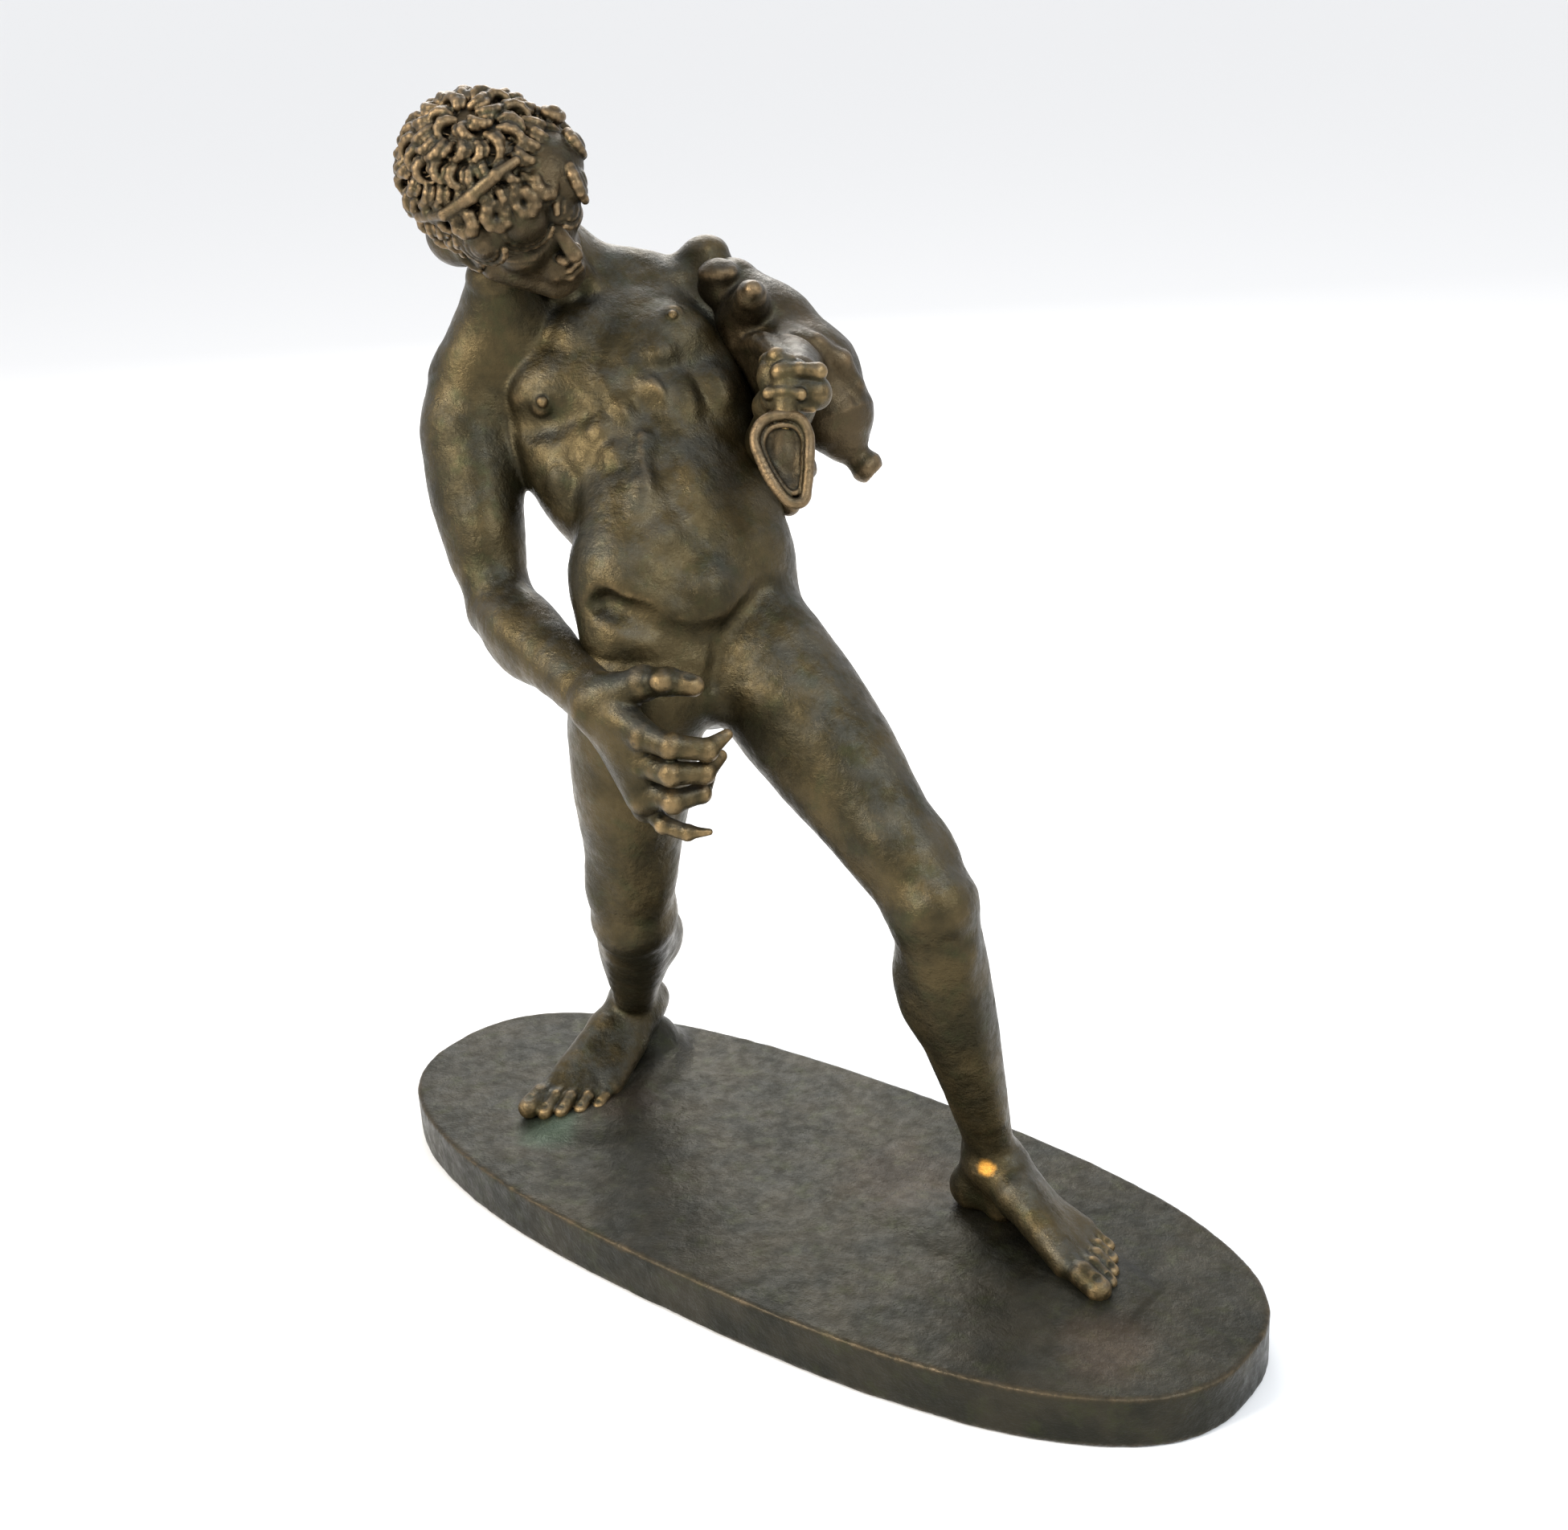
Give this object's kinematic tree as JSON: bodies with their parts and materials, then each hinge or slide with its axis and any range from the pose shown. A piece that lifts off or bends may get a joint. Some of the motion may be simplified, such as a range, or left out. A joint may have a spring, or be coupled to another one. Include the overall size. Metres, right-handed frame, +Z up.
{
  "type": "bronze statuette",
  "caption": "Cast bronze statuette of a striding nude athlete with curly hair carrying a wineskin on one shoulder, on a flat oval plinth.",
  "frame": {"origin": "under the middle of the whole object's box, on the surface that the plinth stands on", "axes": "+Z up, +X the way the figure strides along the plinth's long axis, -Y the figure's front"},
  "size_m": [0.22, 0.0964, 0.2461],
  "materials": {
    "dark_bronze": "dark brown-green patina over cast bronze, rubbed warm on the raised forms",
    "rubbed_bronze": "brown patina with brighter rubbed curls and rims",
    "plinth_bronze": "brushed dark olive-brown patina with coppery edges",
    "dowel_brass": "plain drawn brass",
    "fixing_steel": "plain dull steel"
  },
  "bodies": {
    "root": {"plinth": "plinth_bronze", "torso": "dark_bronze", "head": "rubbed_bronze", "right_arm": "dark_bronze", "left_arm": "dark_bronze", "right_leg": "dark_bronze", "left_leg": "dark_bronze", "wineskin": "rubbed_bronze", "wineskin_mouth": "rubbed_bronze", "neck_dowel": "dowel_brass", "right_shoulder_dowel": "dowel_brass", "left_shoulder_dowel": "dowel_brass", "right_hip_dowel": "dowel_brass", "left_hip_dowel": "dowel_brass", "wineskin_pin": "dowel_brass", "mouth_pin": "dowel_brass", "right_foot_stud": "fixing_steel", "left_foot_stud": "fixing_steel", "right_foot_washer": "fixing_steel", "left_foot_washer": "fixing_steel", "right_foot_nut": "fixing_steel", "left_foot_nut": "fixing_steel"}
  },
  "joints": []
}
